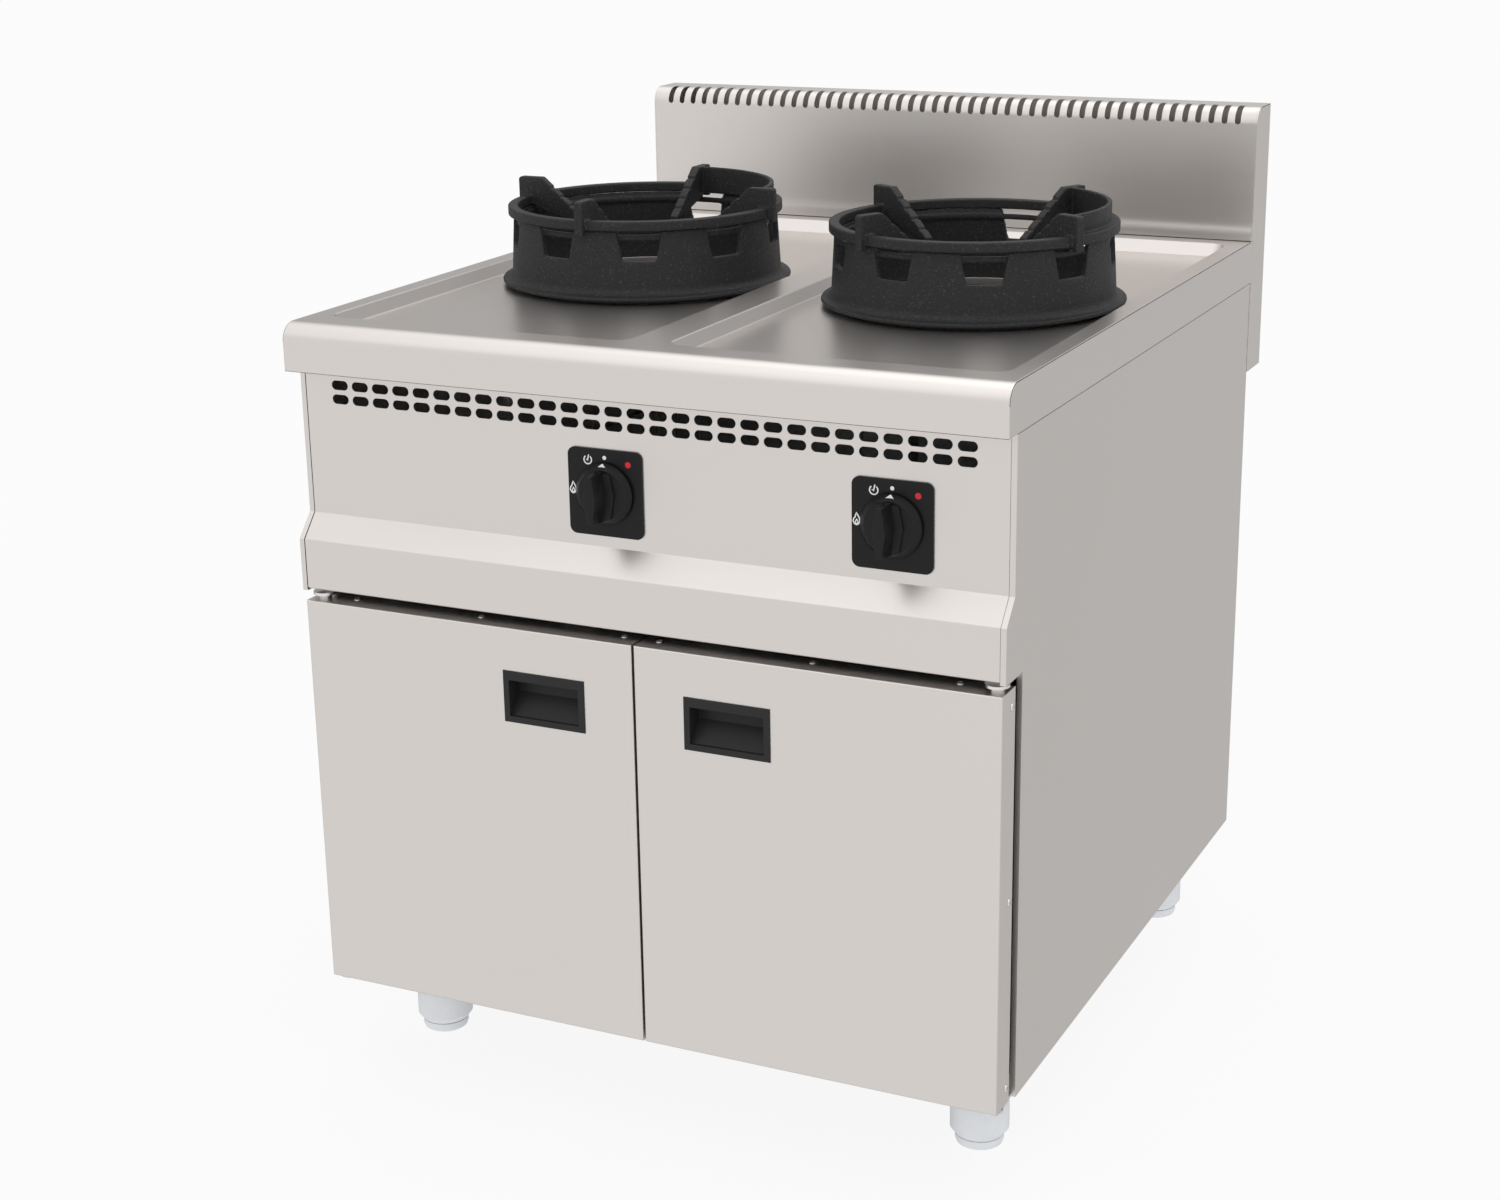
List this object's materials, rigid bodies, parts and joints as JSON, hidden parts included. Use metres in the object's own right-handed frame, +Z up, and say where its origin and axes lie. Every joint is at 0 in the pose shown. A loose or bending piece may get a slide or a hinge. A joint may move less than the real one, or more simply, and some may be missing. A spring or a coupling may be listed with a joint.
{
  "type": "wok range",
  "caption": "Floor-standing gas wok range in stainless steel, with spill wells, a slotted flue splashback, cast iron wok rings, gas controls and a cupboard with hinged doors.",
  "frame": {"origin": "middle of the overall box, on the floor", "axes": "+Z up; +X to the right as seen from the front; the front faces -Y"},
  "size_m": [0.8, 0.9104, 1.0065],
  "materials": {
    "stainless": "satin",
    "casing_steel": "satin",
    "bright_steel": "polished",
    "cast_iron": "matt",
    "black_plastic": "satin",
    "brass": "satin",
    "pipe": "satin",
    "foot_finish": "satin"
  },
  "bodies": {
    "root": {"back_panel": "casing_steel", "back_panel_screws": "bright_steel", "bezel_left": "black_plastic", "bezel_right": "black_plastic", "burner_base_left": "cast_iron", "burner_base_right": "cast_iron", "burner_bracket_left": "casing_steel", "burner_bracket_right": "casing_steel", "burner_pipe_left": "pipe", "burner_pipe_right": "pipe", "burner_tray": "casing_steel", "cabinet_floor": "casing_steel", "control_panel": "stainless", "foot_bolts": "bright_steel", "foot_sleeves": "foot_finish", "gas_inlet": "casing_steel", "gas_manifold": "casing_steel", "header_rail": "casing_steel", "hinge_plates": "bright_steel", "injector_left": "brass", "injector_right": "brass", "magnet_catches": "black_plastic", "pilot_burner_left": "bright_steel", "pilot_burner_right": "bright_steel", "side_panel_left": "stainless", "side_panel_right": "stainless", "splashback_end_left": "stainless", "splashback_end_right": "stainless", "splashback_shell": "stainless", "thermocouple_left": "bright_steel", "thermocouple_right": "bright_steel", "valve_body_left": "brass", "valve_body_right": "brass", "worktop": "stainless"},
    "left_door": {"door_left_skin": "stainless", "door_left_liner": "stainless", "door_left_handle": "black_plastic", "door_left_screws": "bright_steel", "door_left_hinge_pins": "bright_steel"},
    "left_tap": {"valve_plug_left": "brass"},
    "left_knob": {"knob_left": "black_plastic", "spindle_left": "bright_steel"},
    "left_cap": {"burner_cap_left": "cast_iron"},
    "left_collar": {"collar_left": "cast_iron"},
    "left_ring": {"wok_ring_left": "cast_iron"},
    "right_door": {"door_right_skin": "stainless", "door_right_liner": "stainless", "door_right_handle": "black_plastic", "door_right_screws": "bright_steel", "door_right_hinge_pins": "bright_steel"},
    "right_tap": {"valve_plug_right": "brass"},
    "right_knob": {"knob_right": "black_plastic", "spindle_right": "bright_steel"},
    "right_cap": {"burner_cap_right": "cast_iron"},
    "right_collar": {"collar_right": "cast_iron"},
    "right_ring": {"wok_ring_right": "cast_iron"},
    "front_left_foot": {"foot_insert_front_left": "foot_finish"},
    "front_right_foot": {"foot_insert_front_right": "foot_finish"},
    "rear_left_foot": {"foot_insert_rear_left": "foot_finish"},
    "rear_right_foot": {"foot_insert_rear_right": "foot_finish"}
  },
  "joints": [
    {"name": "left_door_swing", "type": "hinge", "parent": "root", "child": "left_door", "pos_m": [-0.384, -0.42275, 0.3273], "axis": [0, 0, -1], "range_deg": [0, 110]},
    {"name": "left_tap_turn", "type": "hinge", "parent": "root", "child": "left_tap", "pos_m": [-0.0356, -0.40475, 0.699], "axis": [0, -1, 0], "range_deg": [0, 90]},
    {"name": "left_knob_press", "type": "slide", "parent": "left_tap", "child": "left_knob", "axis": [0, 1, 0], "range_m": [0, 0.003], "stiffness_N_per_m": 900, "springref_m": -0.002},
    {"name": "left_cap_lift", "type": "slide", "parent": "root", "child": "left_cap", "axis": [0, 0, 1], "range_m": [0, 0.15]},
    {"name": "left_collar_lift", "type": "slide", "parent": "root", "child": "left_collar", "axis": [0, 0, 1], "range_m": [0, 0.12]},
    {"name": "left_ring_lift", "type": "slide", "parent": "left_collar", "child": "left_ring", "axis": [0, 0, 1], "range_m": [0, 0.15]},
    {"name": "right_door_swing", "type": "hinge", "parent": "root", "child": "right_door", "pos_m": [0.384, -0.42275, 0.3273], "axis": [0, 0, 1], "range_deg": [0, 110]},
    {"name": "right_tap_turn", "type": "hinge", "parent": "root", "child": "right_tap", "pos_m": [0.275, -0.40475, 0.699], "axis": [0, -1, 0], "range_deg": [0, 90]},
    {"name": "right_knob_press", "type": "slide", "parent": "right_tap", "child": "right_knob", "axis": [0, 1, 0], "range_m": [0, 0.003], "stiffness_N_per_m": 900, "springref_m": -0.002},
    {"name": "right_cap_lift", "type": "slide", "parent": "root", "child": "right_cap", "axis": [0, 0, 1], "range_m": [0, 0.15]},
    {"name": "right_collar_lift", "type": "slide", "parent": "root", "child": "right_collar", "axis": [0, 0, 1], "range_m": [0, 0.12]},
    {"name": "right_ring_lift", "type": "slide", "parent": "right_collar", "child": "right_ring", "axis": [0, 0, 1], "range_m": [0, 0.15]},
    {"name": "front_left_foot_adjust", "type": "slide", "parent": "root", "child": "front_left_foot", "axis": [0, 0, -1], "range_m": [0, 0.035]},
    {"name": "front_right_foot_adjust", "type": "slide", "parent": "root", "child": "front_right_foot", "axis": [0, 0, -1], "range_m": [0, 0.035]},
    {"name": "rear_left_foot_adjust", "type": "slide", "parent": "root", "child": "rear_left_foot", "axis": [0, 0, -1], "range_m": [0, 0.035]},
    {"name": "rear_right_foot_adjust", "type": "slide", "parent": "root", "child": "rear_right_foot", "axis": [0, 0, -1], "range_m": [0, 0.035]}
  ]
}
